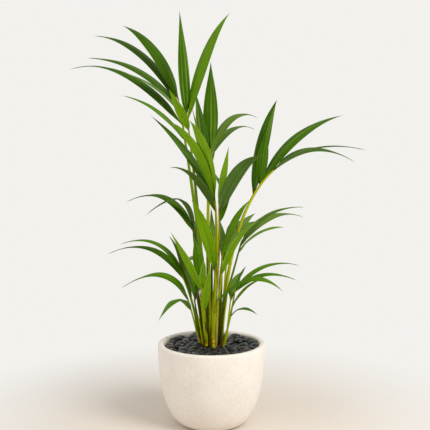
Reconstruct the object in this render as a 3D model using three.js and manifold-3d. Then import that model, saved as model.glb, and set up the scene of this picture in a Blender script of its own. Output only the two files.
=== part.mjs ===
// Kentia palm in a rounded stone pot: a clump of six young stems, each with its own fronds.
// Millimetres, +Z up. The origin is the centre of the pot's flat underside.
// +X is the right-hand side of the plant, +Y its back.

import * as THREE from "three";
import { mergeVertices } from "three/addons/utils/BufferGeometryUtils.js";
import Module from "manifold-3d";

const wasm = await Module();
wasm.setup();

// ---------------------------------------------------------------- driving sizes

const CM = 10;                    // the plant's own sizes are told in centimetres
const CLEAR = 0.4;                // gap between two pieces that rest on each other

const POT_HEIGHT = 235;
const POT_RADIUS = 154.6;         // widest, just under the rim
const POT_FOOT_RADIUS = 80;       // the flat that it stands on
const FOOT_SWELL = 1.6;           // how far the wall runs outwards before it turns up
const FOOT_RISE = 4;
const BELLY = 0.47;               // share of the height under which the wall curves in
const POT_WALL = 17;
const POT_FLOOR = 20;
const RIM_ROUNDING = 6;
const POT_SIDES = 40;
const CAVITY_FLOOR = 0.48;        // the flat floor inside, of the inner radius
const CAVITY_HEEL = 0.84;         // where the inner wall has turned down, of the inner radius
const SOIL_TOP = 205;

const PEBBLE_LAYER = 7;           // the packed layer that the top pebbles lie in
const PEBBLE_LIFT = 10.5;         // from the soil to the middle of a top pebble
const PEBBLE_SIZE = [17, 13, 8.5]; // half length, half width, half thickness
const PEBBLE_COUNT = 52;
const PEBBLE_VARIATION = 0.1;     // of their size
const PEBBLE_TILT = 0.15;         // radians, at most
const PEBBLE_KEEP_OFF = 14;       // from a stem's middle to a pebble's
const PEBBLE_TWIST = 1.9;         // radians from one pebble's heading to the next
const GOLDEN_ANGLE = 137.508;

const STEM_SIDES = 8;
const STEM_RINGS = 5;
const STEM_FLARE = 1.35;          // the foot of a stem against its middle

const RIB_TIP = 1.3;              // radius at the tip of a frond's rib
const RIB_SIDES = 6;
const RIB_RINGS = 9;

const LEAFLET_THICKNESS = 0.0115; // of its length, along the fold
const LEAFLET_STATIONS = [0, 0.14, 0.38, 0.65, 0.87];
const BLADE_SIDES = 4;            // two faces on each side of the fold
const LEAFLET_KNEE = 0.4;         // how far out a leaflet starts to bend over
const LEAFLET_NECK = 0.22;        // width at its foot, of its full width
const BLADE_SHIFT = 0.7;          // under 1 brings the widest place nearer to the foot
const BLADE_FULLNESS = 0.8;       // under 1 keeps the blade wide for longer

const UP = new THREE.Vector3(0, 0, 1);
const BACK = new THREE.Vector3(0, 1, 0);

// ---------------------------------------------------------------- materials

const finish = (color, roughness) =>
  new THREE.MeshStandardMaterial({ color, roughness, metalness: 0 });

const castStone = () => finish(0xe2d5c0, 0.85);
const darkSoil = () => finish(0x2b211a, 0.95);
const blackPebble = () => finish(0x17181a, 0.35);
const paleStem = () => finish(0x8f9a35, 0.5);
const darkLeaf = () => finish(0x2f5a26, 0.45);
const freshLeaf = () => finish(0x5f9420, 0.42);

// ---------------------------------------------------------------- the stems
// foot: [right, back] on the soil; top: [right, back, up]; radius; all in centimetres.

const STEMS = {
  stem_left: { foot: [-3.2, 0.4], top: [-3.9, -0.1, 26], radius: 0.6 },
  stem_front: { foot: [-1.5, -2], top: [-1.8, -2.5, 29.5], radius: 0.65 },
  stem_centre: { foot: [0.6, -2.4], top: [0.7, -2.9, 33], radius: 0.78 },
  stem_ringed: { foot: [2.0, 1.1], top: [3.5, 1.2, 34.5], radius: 0.68 },
  stem_right: { foot: [3.3, -1.3], top: [4.2, -1.6, 26], radius: 0.6 },
  stem_back: { foot: [-0.7, 2.8], top: [-0.9, 3.2, 35], radius: 0.72 },
};

// ---------------------------------------------------------------- the fronds
// seat: the side of the stem's top that the frond leaves from, in degrees from the right,
// turning towards the back. stalk: its radius there. The frond's rib starts at that seat,
// leans by way of `through` and ends at `tip`.
// Each leaflet: [place on the rib, right, back, up, arch, width, turn]. It leaves the rib at
// that share of its length, reaches so many centimetres, arches up by `arch`, is `width`
// centimetres wide, and its blade is turned by so many degrees about its own length.

const FRONDS = {
  frond_tall_left: {
    stem: "stem_back", seat: 215, stalk: 0.3, through: [-4.2, 4, 66], tip: [-9.7, 7, 93],
    leaf: darkLeaf,
    leaflets: [
      [1.0, -16.5, 7, 22, 4.5, 3.6, 35],
      [0.97, -26.5, 15, 20.5, 5, 3.2, 12],
      [0.95, -24.5, -13, 13.5, 3.5, 3.2, 45],
      [0.93, -13.5, -20.5, 10, 2, 3.0, 50],
      [0.89, -32, 1.5, 14.5, 5.5, 3.2, 25],
      [0.82, -16.5, -22, 10, 3, 3.2, 50],
    ],
  },
  frond_young_upright: {
    stem: "stem_front", seat: 60, stalk: 0.26, through: [-4.4, -1, 59], tip: [-6.9, 0, 88.5],
    leaf: freshLeaf,
    leaflets: [
      [1.0, -2.5, 6, 29.5, 0.5, 4.4, 0],
      [0.98, 12, 3, 29.5, 4.5, 3.8, -50],
      [0.93, -5, -11, 11, 0.5, 4.2, -15],
    ],
  },
  frond_dark_back: {
    stem: "stem_back", seat: 330, stalk: 0.24, through: [-1.6, 7, 57], tip: [0.4, 12, 78.5],
    leaf: darkLeaf,
    leaflets: [
      [1.0, -4.8, 4, 15, 2, 3.6, 25],
      [0.98, -0.5, 8.5, 27, 0.5, 4.2, 5],
      [0.99, 14, 10, 9.5, 4.5, 3.0, -20],
      [0.95, 13.5, 14, 6, 3.5, 2.8, -10],
    ],
  },
  frond_centre: {
    stem: "stem_centre", seat: 150, stalk: 0.26, through: [2, -3, 51], tip: [0.9, -4, 66.5],
    leaf: freshLeaf,
    leaflets: [
      [0.98, -12, -6, 20, 4.2, 3.6, -20],
      [0.95, -6.5, -10, 21, 4, 3.6, 10],
      [0.92, -17.5, 2, 22, 2, 3.0, 35],
      [0.84, -12, -16.5, 13, 4.5, 3.0, -5],
    ],
  },
  frond_centre_right: {
    stem: "stem_centre", seat: 78, stalk: 0.24, through: [3, -1, 47.5], tip: [1.7, 0, 63.5],
    leaf: darkLeaf,
    leaflets: [
      [1.0, 3, 6, 16, 1, 3.4, 25],
      [0.92, 12, -8, 16.5, 4.5, 4.0, 50],
      [0.83, 4, -9.5, 7.5, 1.5, 3.2, -10],
    ],
  },
  frond_tall_right: {
    stem: "stem_ringed", seat: 10, stalk: 0.32, through: [7.3, 3, 68], tip: [22.5, 5, 75.5],
    leaf: darkLeaf,
    leaflets: [
      [0.6, 7.5, 8.5, 27.5, 5, 3.6, 0],
      [0.69, 1.5, -6, 19, 1.5, 3.4, -30],
      [0.75, 23.5, 12, 18.5, 5, 3.6, -30],
      [0.84, 22, -14.5, 6.5, 3.5, 3.2, 32],
      [0.87, 25.5, 17.5, 1.5, 5.5, 3.0, -25],
    ],
  },
  frond_left_upper: {
    stem: "stem_front", seat: 300, stalk: 0.2, through: [-1.6, -3.4, 45], tip: [-5.3, -6, 57.5],
    leaf: freshLeaf,
    leaflets: [
      [0.96, -18, -6.5, 8.5, 5, 3.2, 40],
      [0.92, -11.5, -24, 7.5, 5.5, 3.2, -15],
    ],
  },
  frond_centre_leaf: {
    stem: "stem_centre", seat: 222, stalk: 0.26, through: [1.6, -4.6, 40], tip: [0.7, -5.6, 46],
    leaf: freshLeaf,
    leaflets: [
      [0.98, -6, -7, 20, 3, 4.2, -15],
      [0.9, -0.5, -1, 17.5, 0.5, 2.8, -50],
    ],
  },
  frond_left_mid: {
    stem: "stem_left", seat: 335, stalk: 0.24, through: [-6.4, -2, 44.5], tip: [-13, -4, 50.5],
    leaf: freshLeaf,
    leaflets: [
      [0.52, -17, -12, 12.5, 5.5, 3.0, 50],
      [0.5, -22.5, 6, 7.5, 6, 3.0, 15],
      [0.44, -5, -8, 16, 3.5, 2.8, 20],
    ],
  },
  frond_left_low: {
    stem: "stem_left", seat: 235, stalk: 0.2, through: [-5.5, -3, 33], tip: [-7.2, -5, 39],
    leaf: freshLeaf,
    leaflets: [
      [0.85, -18, -6, 4, 5.5, 3.0, 30],
      [0.55, -8, -19, 1.5, 5, 2.8, 0],
      [0.75, -2, -9, 3, 1.5, 2.4, 10],
    ],
  },
  frond_front: {
    stem: "stem_front", seat: 210, stalk: 0.26, through: [-2.1, -5, 35.5], tip: [-3.2, -8, 44],
    leaf: freshLeaf,
    leaflets: [
      [0.74, -8, -11.5, 18, 2, 3.4, 0],
      [1.0, -1.5, -6, 12, 0.5, 2.8, 35],
      [0.8, 1, -13.5, 11.5, 1, 2.8, -40],
      [0.62, 2.5, -18, 11.5, 1, 3.4, -20],
    ],
  },
  frond_right_inner: {
    stem: "stem_centre", seat: 6, stalk: 0.24, through: [3, -3.4, 40], tip: [2.9, -6, 51],
    leaf: freshLeaf,
    leaflets: [
      [0.92, 8, 5.5, 15.5, 3, 3.0, -5],
      [0.98, 12, -8, 12, 3, 2.6, 20],
      [0.65, 10, -20, 18, 4, 2.8, -5],
    ],
  },
  frond_right_mid: {
    stem: "stem_ringed", seat: 270, stalk: 0.22, through: [6.4, -2, 45], tip: [8.6, -3, 54],
    leaf: darkLeaf,
    leaflets: [
      [0.86, 17.5, -7.5, 12, 4, 2.8, -35],
      [0.92, 19, 13, 6.5, 4.5, 2.8, -5],
      [0.77, 11.5, -15.5, 9.5, 2.5, 2.6, 0],
    ],
  },
  frond_right_low: {
    stem: "stem_right", seat: 250, stalk: 0.24, through: [5.6, -2.4, 32], tip: [6.9, -4, 41],
    leaf: darkLeaf,
    leaflets: [
      [0.97, 3, -8, 7.5, 1, 2.4, -35],
      [0.92, 19, 8, 5.5, 4, 2.6, 0],
      [0.88, 17, -6.5, 4, 3.5, 2.6, -15],
      [0.74, 7, -9, 9.5, 1.5, 2.6, -10],
      [0.45, 9.5, -7.5, 3, 2.5, 2.2, 5],
    ],
  },
  frond_front_low: {
    stem: "stem_centre", seat: 294, stalk: 0.2, through: [0.9, -6, 35.8], tip: [1.4, -9, 37.5],
    leaf: freshLeaf,
    leaflets: [
      [0.8, 18, -10, 5, 5, 3.0, -20],
    ],
  },
  frond_back_tall: {
    stem: "stem_back", seat: 60, stalk: 0.26, through: [-1.4, 8, 56.5], tip: [-1, 15, 74],
    leaf: darkLeaf,
    leaflets: [
      [1.0, 0, 16, 24, 2, 3.2, 0],
      [0.96, -4, 18.5, 12, 3.5, 3.2, 0],
      [0.92, 2, 22, 8, 4.5, 3.2, 0],
      [0.87, -2, 22, -2, 5, 3.0, 0],
      [0.82, 4.5, 20, -4, 5, 3.0, 0],
    ],
  },
  frond_back_left: {
    stem: "stem_back", seat: 140, stalk: 0.24, through: [-2.8, 7, 42], tip: [-5, 11, 49],
    leaf: freshLeaf,
    leaflets: [
      [1.0, -3, 19, 9, 3, 3.0, 0],
      [0.94, 0.5, 21.5, 6, 4, 3.0, 0],
      [0.88, -3, 15, 12, 1.5, 2.8, 0],
      [0.78, -7.5, 17, -1.5, 4, 2.8, 0],
      [0.7, -0.5, 23.5, -4, 4.5, 2.8, 0],
    ],
  },
  frond_back_right: {
    stem: "stem_ringed", seat: 110, stalk: 0.24, through: [4.2, 6, 42], tip: [4.6, 11, 50.5],
    leaf: freshLeaf,
    leaflets: [
      [1.0, 1.5, 18, 17.5, 2, 3.0, 0],
      [0.95, 2, 22.5, 8, 3.5, 3.0, 0],
      [0.88, 11, 14, 7.5, 2.5, 2.8, -10],
      [0.8, 8, 21, -1, 4, 2.8, 0],
      [0.72, 1, 23.5, -4, 4.5, 2.8, 0],
    ],
  },
  frond_back_low: {
    stem: "stem_left", seat: 105, stalk: 0.2, through: [-4.3, 4, 30.5], tip: [-5.2, 8, 35.5],
    leaf: darkLeaf,
    leaflets: [
      [1.0, -4.5, 16, 5, 3, 2.6, 0],
      [0.92, -8, 14.5, 1, 3, 2.4, 10],
      [0.82, 1, 21, 4, 3.5, 2.4, 0],
    ],
  },
  frond_side_low: {
    stem: "stem_right", seat: 60, stalk: 0.2, through: [5.1, 2, 31], tip: [5.7, 7, 36],
    leaf: freshLeaf,
    leaflets: [
      [1.0, 7, 15, 3, 3, 2.6, 0],
      [0.92, 10, 12, 1, 3, 2.4, -10],
      [0.82, 3.5, 21.5, 3, 3.5, 2.4, 0],
    ],
  },
};

// ---------------------------------------------------------------- solids

const toSolid = (geometry) => {
  geometry.deleteAttribute("normal");
  geometry.deleteAttribute("uv");
  const merged = mergeVertices(geometry, 1e-4);
  return new wasm.Manifold(new wasm.Mesh({
    numProp: 3,
    vertProperties: new Float32Array(merged.attributes.position.array),
    triVerts: new Uint32Array(merged.index.array),
  }));
};

const toGeometry = (solid) => {
  const { vertProperties, triVerts } = solid.getMesh();
  const geometry = new THREE.BufferGeometry();
  geometry.setAttribute("position", new THREE.BufferAttribute(vertProperties, 3));
  geometry.setIndex(new THREE.BufferAttribute(triVerts, 1));
  geometry.computeVertexNormals();
  return geometry;
};

// A closed skin over rings of equal count, with a point at each end.
const loft = (rings, start, end) => {
  const sides = rings[0].length;
  const points = [start, ...rings.flat(), end];
  const last = points.length - 1;
  const at = (ring, side) => 1 + ring * sides + (side % sides);
  const index = [];
  for (let side = 0; side < sides; side++) {
    index.push(0, at(0, side + 1), at(0, side));
    index.push(last, at(rings.length - 1, side), at(rings.length - 1, side + 1));
    for (let ring = 0; ring < rings.length - 1; ring++) {
      index.push(at(ring, side), at(ring, side + 1), at(ring + 1, side + 1));
      index.push(at(ring, side), at(ring + 1, side + 1), at(ring + 1, side));
    }
  }
  const geometry = new THREE.BufferGeometry().setFromPoints(points);
  geometry.setIndex(index);
  return geometry;
};

const ringAround = (centre, across, over, halfWidth, halfHeight, sides) =>
  Array.from({ length: sides }, (_, side) => {
    const angle = (side / sides) * 2 * Math.PI;
    return centre.clone()
      .addScaledVector(across, halfWidth * Math.cos(angle))
      .addScaledVector(over, halfHeight * Math.sin(angle));
  });

// ---------------------------------------------------------------- pot, soil and pebbles

const innerRadius = POT_RADIUS - POT_WALL;

// The rounded wall under the soil line, from the neck down to the pot's floor.
const cavityWall = (inset) => new THREE.CubicBezierCurve(
  new THREE.Vector2(innerRadius - inset, SOIL_TOP),
  new THREE.Vector2(innerRadius - inset, SOIL_TOP * 0.5),
  new THREE.Vector2(innerRadius * CAVITY_HEEL - inset, POT_FLOOR + inset),
  new THREE.Vector2(innerRadius * CAVITY_FLOOR, POT_FLOOR + inset),
);

const shoulder = POT_HEIGHT - RIM_ROUNDING;

const outerWall = new THREE.CubicBezierCurve(
  new THREE.Vector2(POT_FOOT_RADIUS, 0),
  new THREE.Vector2(POT_FOOT_RADIUS * FOOT_SWELL, FOOT_RISE),
  new THREE.Vector2(POT_RADIUS, POT_HEIGHT * BELLY),
  new THREE.Vector2(POT_RADIUS, shoulder),
);

const rimArc = (radius, from) =>
  new THREE.EllipseCurve(radius, shoulder, RIM_ROUNDING, RIM_ROUNDING, from, from + Math.PI / 2);

const potProfile = () => [
  new THREE.Vector2(0, 0),
  ...outerWall.getPoints(8),
  ...rimArc(POT_RADIUS - RIM_ROUNDING, 0).getPoints(3).slice(1),
  ...rimArc(innerRadius + RIM_ROUNDING, Math.PI / 2).getPoints(3),
  ...cavityWall(0).getPoints(6),
  new THREE.Vector2(0, POT_FLOOR),
];

const soilProfile = () => [
  new THREE.Vector2(0, POT_FLOOR + CLEAR),
  ...cavityWall(CLEAR).getPoints(6).reverse(),
  new THREE.Vector2(0, SOIL_TOP),
];

const turned = (profile) => {
  const geometry = new THREE.LatheGeometry(profile, POT_SIDES);
  geometry.rotateX(Math.PI / 2);
  return toSolid(geometry);
};

const pebble = (place, size, heading, tilt) => {
  const geometry = new THREE.IcosahedronGeometry(1, 0);
  geometry.scale(...size);
  geometry.rotateX(tilt);
  geometry.rotateZ(heading);
  geometry.translate(place.x, place.y, place.z);
  return toSolid(geometry);
};

const stemNear = (place) => Object.values(STEMS).some(
  ({ foot }) => Math.hypot(place.x - foot[0] * CM, place.y - foot[1] * CM) < PEBBLE_KEEP_OFF);

// Pebbles spread evenly over the pot by the golden angle, in a thin layer on the soil.
const pebbleBed = (stems) => {
  const radius = innerRadius - CLEAR * 2;
  const bottom = SOIL_TOP + CLEAR;
  const top = bottom + PEBBLE_LAYER;
  let bed = turned([
    new THREE.Vector2(0, bottom),
    new THREE.Vector2(radius, bottom),
    new THREE.Vector2(radius, top),
    new THREE.Vector2(0, top),
  ]);
  const reach = radius - PEBBLE_SIZE[0] * (1 + PEBBLE_VARIATION);
  const middle = SOIL_TOP + PEBBLE_LIFT;
  for (let count = 0; count < PEBBLE_COUNT; count++) {
    const out = reach * Math.sqrt((count + 0.5) / PEBBLE_COUNT);
    const around = THREE.MathUtils.degToRad(count * GOLDEN_ANGLE);
    const place = new THREE.Vector3(out * Math.cos(around), out * Math.sin(around), middle);
    if (stemNear(place)) continue;
    const growth = 1 - PEBBLE_VARIATION * Math.sin(count) ** 2;
    const size = PEBBLE_SIZE.map((half) => half * growth);
    const tilt = PEBBLE_TILT * Math.cos(count);
    bed = bed.add(pebble(place, size, count * PEBBLE_TWIST, tilt));
  }
  for (const stem of stems) bed = bed.subtract(stem);
  return bed;
};

// ---------------------------------------------------------------- stems

const stemShape = ({ foot, top, radius }, extra) => {
  const start = new THREE.Vector3(foot[0] * CM, foot[1] * CM, SOIL_TOP + CLEAR - extra);
  const end = new THREE.Vector3(...top).multiplyScalar(CM);
  const rings = [];
  for (let ring = 0; ring < STEM_RINGS; ring++) {
    const share = ring / (STEM_RINGS - 1);
    const flare = 1 + (STEM_FLARE - 1) * (1 - share) ** 3;
    const size = radius * CM * flare + extra;
    const centre = start.clone().lerp(end, share);
    rings.push(ringAround(centre, new THREE.Vector3(1, 0, 0), BACK, size, size, STEM_SIDES));
  }
  return toSolid(loft(rings, start, end));
};

// ---------------------------------------------------------------- fronds

const ribOf = ({ stem, seat, stalk, through, tip }) => {
  const { top, radius } = STEMS[stem];
  const side = THREE.MathUtils.degToRad(seat);
  const out = (radius - stalk) * CM;
  const foot = new THREE.Vector3(
    top[0] * CM + out * Math.cos(side), top[1] * CM + out * Math.sin(side), top[2] * CM + CLEAR);
  const lean = new THREE.Vector3(...through).multiplyScalar(CM);
  return new THREE.QuadraticBezierCurve3(foot, lean, new THREE.Vector3(...tip).multiplyScalar(CM));
};

const ribSolid = (rib, stalk) => {
  const rings = [];
  for (let ring = 0; ring <= RIB_RINGS; ring++) {
    const share = ring / RIB_RINGS;
    const along = ring === 0 ? UP : rib.getTangent(share);
    const across = along.clone().cross(BACK).normalize();
    const over = along.clone().cross(across);
    const size = THREE.MathUtils.lerp(stalk * CM, RIB_TIP, share);
    rings.push(ringAround(rib.getPoint(share), across, over, size, size, RIB_SIDES));
  }
  return toSolid(loft(rings, rib.getPoint(0), rib.getPoint(1)));
};

// A leaflet's width along it: narrow at the foot, widest before the middle, then a long point.
const bladeShare = (share) =>
  Math.max(LEAFLET_NECK * (1 - share), Math.sin(Math.PI * share ** BLADE_SHIFT) ** BLADE_FULLNESS);

const leafletSolid = (rib, [place, right, back, up, arch, width, turn]) => {
  const foot = rib.getPoint(place);
  const reach = new THREE.Vector3(right, back, up).multiplyScalar(CM);
  const knee = foot.clone().addScaledVector(reach, LEAFLET_KNEE).addScaledVector(UP, 2 * arch * CM);
  const tip = foot.clone().add(reach);
  const line = new THREE.QuadraticBezierCurve3(foot, knee, tip);
  const level = reach.clone().cross(UP).normalize();
  const thickness = LEAFLET_THICKNESS * reach.length();
  const rings = LEAFLET_STATIONS.map((share) => {
    const along = line.getTangent(share);
    const across = level.clone().applyAxisAngle(along, THREE.MathUtils.degToRad(-turn));
    const over = along.clone().cross(across);
    const half = (bladeShare(share) * width * CM) / 2;
    return ringAround(line.getPoint(share), across, over, half, thickness / 2, BLADE_SIDES);
  });
  return toSolid(loft(rings, foot, tip));
};

const frondSolid = (frond) => {
  const rib = ribOf(frond);
  return frond.leaflets.reduce(
    (solid, leaflet) => solid.add(leafletSolid(rib, leaflet)), ribSolid(rib, frond.stalk));
};

// ---------------------------------------------------------------- the whole plant

const palm = new THREE.Group();

const place = (name, solid, material) => {
  const mesh = new THREE.Mesh(toGeometry(solid), material);
  mesh.name = name;
  palm.add(mesh);
};

const stemSockets = Object.values(STEMS).map((stem) => stemShape(stem, CLEAR));

place("pot", turned(potProfile()), castStone());
place("potting_soil", turned(soilProfile()), darkSoil());
place("pebble_bed", pebbleBed(stemSockets), blackPebble());
for (const [name, stem] of Object.entries(STEMS)) place(name, stemShape(stem, 0), paleStem());
for (const [name, frond] of Object.entries(FRONDS)) place(name, frondSolid(frond), frond.leaf());

export default palm;
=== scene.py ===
# %% [markdown]
# # A kentia palm in a stone pot
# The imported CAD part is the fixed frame: a pot, its soil and pebbles, six young stems and twenty
# fronds. This lesson puts the fine surfaces of the real plant around it: smooth cast stone, a bed
# of satin pebbles, canes wrapped in leaf sheaths, and pleated leaflets on grooved stalks.
# Everything is in metres, with Z up, the pot's foot at the origin and the plant's back at +Y.

# %% The frame
import math
import random

import bpy
import numpy as np
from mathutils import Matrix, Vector


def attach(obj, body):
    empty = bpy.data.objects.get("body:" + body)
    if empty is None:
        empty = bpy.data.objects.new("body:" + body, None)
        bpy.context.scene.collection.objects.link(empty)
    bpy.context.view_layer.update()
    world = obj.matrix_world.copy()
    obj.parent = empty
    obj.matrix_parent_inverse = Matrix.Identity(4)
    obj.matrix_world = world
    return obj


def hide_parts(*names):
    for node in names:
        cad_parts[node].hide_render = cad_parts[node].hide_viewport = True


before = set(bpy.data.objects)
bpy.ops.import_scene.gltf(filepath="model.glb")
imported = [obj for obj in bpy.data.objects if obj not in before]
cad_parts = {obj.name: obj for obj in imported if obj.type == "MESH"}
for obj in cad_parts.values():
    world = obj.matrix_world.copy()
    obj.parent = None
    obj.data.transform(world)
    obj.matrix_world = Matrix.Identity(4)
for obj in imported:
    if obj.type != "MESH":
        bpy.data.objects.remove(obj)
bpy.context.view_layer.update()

UP = Vector((0, 0, 1))
CM = 0.01
MM = 0.001
print("frame nodes:", len(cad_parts))

# %% [markdown]
# ## Camera
# A plant portrait is taken from a little above the middle of the plant, with a long lens so that
# the near leaves are not blown up. The lens is given in millimetres and the camera's dip in
# degrees below level.

# %% Camera
LENS = 70.0
CAMERA_PLACE = (0.0099, -2.366, 0.845)
CAMERA_DIP = 5.81


def in_scene(name, data):
    """A new object in the scene."""
    made = bpy.data.objects.new(name, data)
    bpy.context.scene.collection.objects.link(made)
    return made


camera = in_scene("camera", bpy.data.cameras.new("camera"))
camera.data.lens = LENS
camera.location = CAMERA_PLACE
camera.rotation_euler = (math.radians(90 - CAMERA_DIP), 0, 0)
bpy.context.scene.camera = camera
bpy.context.scene.view_settings.view_transform = "Standard"
print("camera stands", round(-CAMERA_PLACE[1], 2), "m in front of the pot")

# %% [markdown]
# A node tree is easier to read when each node is one call. `wire` adds a node, sets its
# properties, feeds its open inputs in order, and gives back what runs out of it as a `Flow`.
# Plain signs between flows add the node that does the sum, so that a formula in a tree reads
# like any other formula. An arrow is a vector, and an arrow times a number is a longer arrow.

# %% A helper for node trees
class Flow:
    """What runs out of a node. Plain signs between flows add the nodes that reckon."""

    def __init__(self, socket):
        self.socket, self.tree = socket, socket.id_data

    def out(self, name):
        """What runs out of another output of the same node."""
        return Flow(self.socket.node.outputs[name])

    def __add__(self, other):
        return reckon("ADD", self, other)

    def __sub__(self, other):
        return reckon("SUBTRACT", self, other)

    def __rsub__(self, other):
        return reckon("SUBTRACT", other, self)

    def __mul__(self, other):
        return reckon("SCALE" if self.socket.type == "VECTOR" else "MULTIPLY", self, other)

    def __pow__(self, other):
        return reckon("POWER", self, other)

    def __abs__(self):
        return reckon("ABSOLUTE", self)


def wire(tree, kind, *feeds, **settings):
    """Adds a node: a flow among the feeds is linked, a value is set, None is left alone."""
    made = tree.nodes.new(kind)
    for name, value in settings.items():
        setattr(made, name, value)
    for socket, feed in zip([s for s in made.inputs if s.enabled], feeds):
        if isinstance(feed, Flow):
            tree.links.new(feed.socket, socket)
        elif feed is not None:
            socket.default_value = feed
    outputs = [s for s in made.outputs if s.enabled]
    return Flow(outputs[0]) if outputs else None


def reckon(operation, *feeds):
    """A Math node, or a Vector Math node where an arrow is among the feeds."""
    flows = [feed for feed in feeds if isinstance(feed, Flow)]
    arrow = any(flow.socket.type == "VECTOR" for flow in flows)
    return wire(flows[0].tree, "ShaderNodeVectorMath" if arrow else "ShaderNodeMath", *feeds,
                operation=operation)


def linear(colour):
    """A colour given as it looks on screen, 0 to 255, in the numbers that a shader takes."""
    shares = [channel / 255 for channel in colour]
    return tuple(((s + 0.055) / 1.055) ** 2.4 if s > 0.04045 else s / 12.92 for s in shares) + (1,)


print("mid grey is", round(linear((128, 128, 128))[0], 3), "to a shader")

# %% [markdown]
# ## Room and floor
# A bright, soft room could be built of walls and windows, but a plain world colour does the same
# with less noise. The lens sees it at full brightness, as a pale wall, and the plant is lit by a
# weaker glow of it.

# %% The room's light
ROOM = (243, 241, 237)
GLOW, GLOW_POWER = (244, 244, 242), 0.74

world = bpy.data.worlds.new("room")
bpy.context.scene.world = world
world.use_nodes = True
tree = world.node_tree
tree.nodes.clear()
seen = wire(tree, "ShaderNodeBackground", linear(ROOM), 1.0)
glow = wire(tree, "ShaderNodeBackground", linear(GLOW), GLOW_POWER)
to_lens = wire(tree, "ShaderNodeLightPath")
wire(tree, "ShaderNodeOutputWorld", wire(tree, "ShaderNodeMixShader", to_lens, glow, seen))
print("the room glows at", GLOW_POWER, "of full brightness")

# %% [markdown]
# The floor is one large square. It is matt near the pot and fades into the wall's colour further
# out, so no horizon cuts through the leaves.

# %% The floor
FLOOR = (224, 214, 203)
FLOOR_SIZE = 30.0
FADE_FROM, FADE_TO = 0.2, 0.95

floor_mesh = bpy.data.meshes.new("floor")
half = FLOOR_SIZE / 2
corners = [(-half, -half, 0), (half, -half, 0), (half, half, 0), (-half, half, 0)]
floor_mesh.from_pydata(corners, [], [(0, 1, 2, 3)])
floor = in_scene("floor", floor_mesh)

paint = bpy.data.materials.new("pale_floor")
paint.use_nodes = True
tree = paint.node_tree
tree.nodes.clear()
away = reckon("LENGTH", wire(tree, "ShaderNodeTexCoord").out("Object")).out("Value")
fade = wire(tree, "ShaderNodeMapRange", away, FADE_FROM, FADE_TO, 0.0, 1.0,
            interpolation_type="SMOOTHSTEP")
matt = wire(tree, "ShaderNodeBsdfDiffuse", linear(FLOOR))
backdrop = wire(tree, "ShaderNodeEmission", linear(ROOM), 1.0)
wire(tree, "ShaderNodeOutputMaterial", wire(tree, "ShaderNodeMixShader", fade, matt, backdrop))
floor.data.materials.append(paint)
print("the floor fades from", FADE_FROM, "to", FADE_TO, "m away")


# %% [markdown]
# A large lamp high on the right stands for the window, and a weak one for the light that comes
# back from the left.

# %% The windows
def lamp(name, place, aim, size, power, colour):
    """A square soft light at a place, turned towards an aim."""
    data = bpy.data.lights.new(name, "AREA")
    data.size = size
    data.energy = power
    data.color = linear(colour)[:3]
    made = in_scene(name, data)
    made.location = place
    made.rotation_euler = (Vector(aim) - Vector(place)).to_track_quat("-Z", "Y").to_euler()
    print(name, "shines with", power, "W")


lamp("window", (1.7, -1.5, 2.1), (0, 0, 0.55), 1.3, 56, (255, 253, 249))
lamp("far_window", (-2.0, -0.9, 1.6), (0, 0, 0.6), 1.6, 11, (255, 250, 242))

# %% [markdown]
# ## Finishes
# Each finish is a small tree of shader nodes on one Principled shader. Two coordinate systems
# are used: Object coordinates for what runs through a block, such as the grain of stone and the
# broad clouds of tone on a leaf, and the piece's own `strip` map for veins and streaks. One axis
# of that map runs along the leaf and the other across it, so that the veins follow every bend.

# %% A helper for finishes
def new_finish(name, roughness, specular=0.5):
    """A material with one Principled shader, whose even numbers are set on its own sockets."""
    made = bpy.data.materials.new(name)
    made.use_nodes = True
    shader = made.node_tree.nodes["Principled BSDF"]
    shader.inputs["Roughness"].default_value = roughness
    shader.inputs["Specular IOR Level"].default_value = specular
    return made, made.node_tree, shader


def block(tree):
    """Where a point lies in the piece, in metres."""
    return wire(tree, "ShaderNodeTexCoord").out("Object")


def blend(share, first, second):
    """A colour between two colours."""
    return wire(share.tree, "ShaderNodeMix", share, first, second, data_type="RGBA")


def grain(where, scale, detail=3.0, rough=0.55, stretch=(1, 1, 1)):
    """Noise between 0 and 1, drawn out by a stretch along each axis."""
    placed = wire(where.tree, "ShaderNodeMapping", where, None, None, stretch)
    return wire(where.tree, "ShaderNodeTexNoise", placed, scale, detail, rough)


def ramp(share, low, high):
    """Spreads the part of a number between low and high over 0 to 1."""
    return wire(share.tree, "ShaderNodeMapRange", share, low, high, 0.0, 1.0)


def dress(shader, colour, height, strength, distance):
    """Gives a shader its colour, and lets a height tilt its shading."""
    tilted = wire(colour.tree, "ShaderNodeBump", strength, distance, None, height)
    for title, flow in (("Base Color", colour), ("Normal", tilted)):
        colour.tree.links.new(flow.socket, shader.inputs[title])


print("a finish has a colour, a roughness and a bump")

# %% [markdown]
# ### Cast stone
# The pot is cast from pale stone dust and cement: cream, matt, with soft tan clouds where the
# mix was richer and a fine salt-and-pepper grain of sand. Two scales of noise make the clouds,
# a third picks out dark and light sand grains, and a shallow bump makes the skin feel dry.

# %% Cast stone
def cast_stone():
    """The pot's skin: clouds, then warmer patches, then dark and light grains of sand."""
    made, tree, shader = new_finish("cast_stone", 0.82, 0.3)
    here = block(tree)
    clouds = ramp(grain(here, 14, 4), 0.3, 0.7)
    body = blend(clouds, linear((230, 222, 212)), linear((237, 230, 222)))
    patches = ramp(grain(here, 130, 3), 0.5, 0.72)
    body = blend(patches * 0.4, body, linear((222, 206, 190)))
    sand = grain(here, 560, 2)
    dark_sand, light_sand = ramp(sand, 0.58, 0.7), ramp(sand, 0.42, 0.32)
    body = blend(dark_sand * 0.55, body, linear((196, 170, 146)))
    body = blend(light_sand * 0.6, body, linear((254, 250, 243)))
    dress(shader, body, sand, 0.25, 0.0006)
    return made


print("cast stone is matt, with sand of two tones")

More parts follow.
